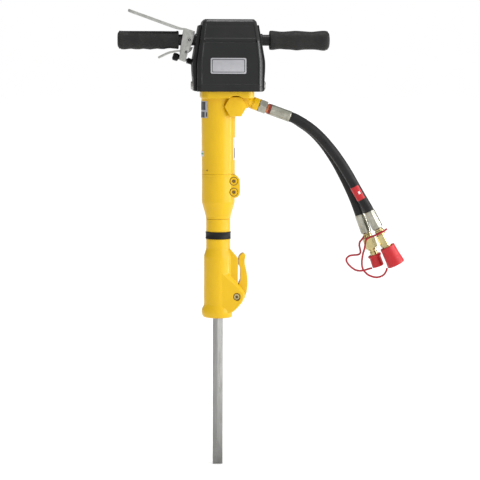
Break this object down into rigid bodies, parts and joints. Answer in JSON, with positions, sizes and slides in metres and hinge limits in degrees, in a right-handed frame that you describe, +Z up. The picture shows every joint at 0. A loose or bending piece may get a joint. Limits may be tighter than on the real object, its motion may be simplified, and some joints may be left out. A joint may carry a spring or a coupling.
{
  "type": "hydraulic breaker hammer",
  "caption": "Hand-held hydraulic breaker: T-handle with trigger over a spring-mounted hammer body with a flip-up latch, hexagon flat chisel, and hoses with capped couplings.",
  "frame": {"origin": "where the hammer's axis crosses the axis of the handle bar, which is where the operator holds it", "axes": "+Z up along the hammer's axis away from the chisel, +X along the handle bar towards the grip on the hose side, -Y the front"},
  "size_m": [0.6514, 0.14, 1.0376],
  "materials": {
    "yellow_paint": "semi-gloss paint",
    "hood_plastic": "satin moulded plastic",
    "black_steel": "satin powder coat",
    "grip_rubber": "matt moulded rubber",
    "black_rubber": "matt rubber",
    "hose_rubber": "satin hose cover",
    "zinc_sheet": "zinc-plated sheet",
    "zinc_fitting": "zinc-plated fitting",
    "chromate_fitting": "yellow chromate plating",
    "tool_steel": "ground steel",
    "dark_steel": "blackened steel",
    "bronze": "machined bronze",
    "red_plastic": "glossy moulded plastic"
  },
  "bodies": {
    "handle": {"hood": "hood_plastic", "side_plate_left": "black_steel", "side_plate_right": "black_steel", "hood_bolt_left": "zinc_sheet", "hood_bolt_right": "zinc_sheet", "handle_yoke": "dark_steel", "handle_bar": "black_steel", "grip_left": "grip_rubber", "grip_right": "grip_rubber", "rod_boot": "black_rubber", "trigger_pivot_pin": "zinc_sheet", "suspension_spring_front": "dark_steel", "suspension_spring_rear": "dark_steel"},
    "trigger": {"trigger_lever": "zinc_sheet", "catch_pin": "zinc_sheet"},
    "catch": {"safety_catch": "zinc_sheet"},
    "throttle_rod": {"throttle_rod": "tool_steel", "rod_knob": "black_rubber"},
    "hammer": {"backhead": "yellow_paint", "port_plug": "yellow_paint", "guide_post_front": "dark_steel", "guide_post_rear": "dark_steel", "accumulator_cover": "dark_steel", "accumulator_diaphragm": "black_rubber", "valve_sleeve": "tool_steel", "cylinder_liner": "tool_steel", "cylinder": "yellow_paint", "boss_plug_upper": "yellow_paint", "boss_plug_lower": "yellow_paint", "rod_seal": "black_rubber", "front_head": "yellow_paint", "front_band": "black_rubber", "tool_bush": "bronze", "latch_pin": "chromate_fitting", "front_adapter": "yellow_paint", "rear_adapter": "yellow_paint", "front_swivel_nut": "zinc_fitting", "rear_swivel_nut": "zinc_fitting", "front_port_ferrule": "zinc_fitting", "rear_port_ferrule": "zinc_fitting", "front_hose": "hose_rubber", "rear_hose": "hose_rubber", "front_end_ferrule": "zinc_fitting", "rear_end_ferrule": "zinc_fitting", "large_coupling": "chromate_fitting", "small_coupling": "chromate_fitting", "small_lanyard": "red_plastic", "large_lanyard": "red_plastic"},
    "throttle_spool": {"throttle_spool": "tool_steel"},
    "valve_spool": {"valve_spool": "bronze"},
    "piston": {"piston": "tool_steel"},
    "chisel": {"chisel": "tool_steel"},
    "latch": {"latch": "yellow_paint"},
    "large_cap": {"large_cap": "red_plastic"},
    "small_cap": {"small_cap": "red_plastic"}
  },
  "joints": [
    {"name": "hammer_slide", "type": "slide", "parent": "handle", "child": "hammer", "axis": [0, 0, 1], "range_m": [0, 0.012], "stiffness_N_per_m": 12000, "springref_m": -0.004, "deforming": ["suspension_spring_front", "suspension_spring_rear"]},
    {"name": "trigger_squeeze", "type": "hinge", "parent": "handle", "child": "trigger", "pos_m": [-0.0669, 0, 0], "axis": [0, -1, 0], "range_deg": [0, 5.8], "stiffness_Nm_per_rad": 2, "springref_deg": -17.19},
    {"name": "catch_lift", "type": "hinge", "parent": "trigger", "child": "catch", "pos_m": [-0.0741, 0, -0.0272], "axis": [0, 1, 0], "range_deg": [0, 6], "stiffness_Nm_per_rad": 0.2, "springref_deg": -28.65},
    {"name": "throttle_push", "type": "slide", "parent": "handle", "child": "throttle_rod", "axis": [0.9563, 0, -0.2924], "range_m": [0, 0.0047]},
    {"name": "throttle_spool_shift", "type": "slide", "parent": "hammer", "child": "throttle_spool", "axis": [1, 0, 0], "range_m": [0, 0.0047]},
    {"name": "piston_stroke", "type": "slide", "parent": "hammer", "child": "piston", "axis": [0, 0, 1], "range_m": [0, 0.035]},
    {"name": "valve_shift", "type": "slide", "parent": "hammer", "child": "valve_spool", "axis": [0, 0, 1], "range_m": [0, 0.012]},
    {"name": "tool_slide", "type": "slide", "parent": "hammer", "child": "chisel", "axis": [0, 0, 1], "range_m": [0, 0.025]},
    {"name": "latch_open", "type": "hinge", "parent": "hammer", "child": "latch", "pos_m": [0.0418, 0, -0.583], "axis": [0, 1, 0], "range_deg": [0, 100]},
    {"name": "large_cap_pull", "type": "slide", "parent": "hammer", "child": "large_cap", "axis": [0.4633, 0, -0.8862], "range_m": [0, 0.028]},
    {"name": "small_cap_pull", "type": "slide", "parent": "hammer", "child": "small_cap", "axis": [0.342, 0, -0.9397], "range_m": [0, 0.018]}
  ],
  "couplings": [
    {"joint": "throttle_push", "follows": "trigger_squeeze", "m_per_rad": 0.0451},
    {"joint": "throttle_spool_shift", "follows": "trigger_squeeze", "m_per_rad": 0.0431}
  ]
}
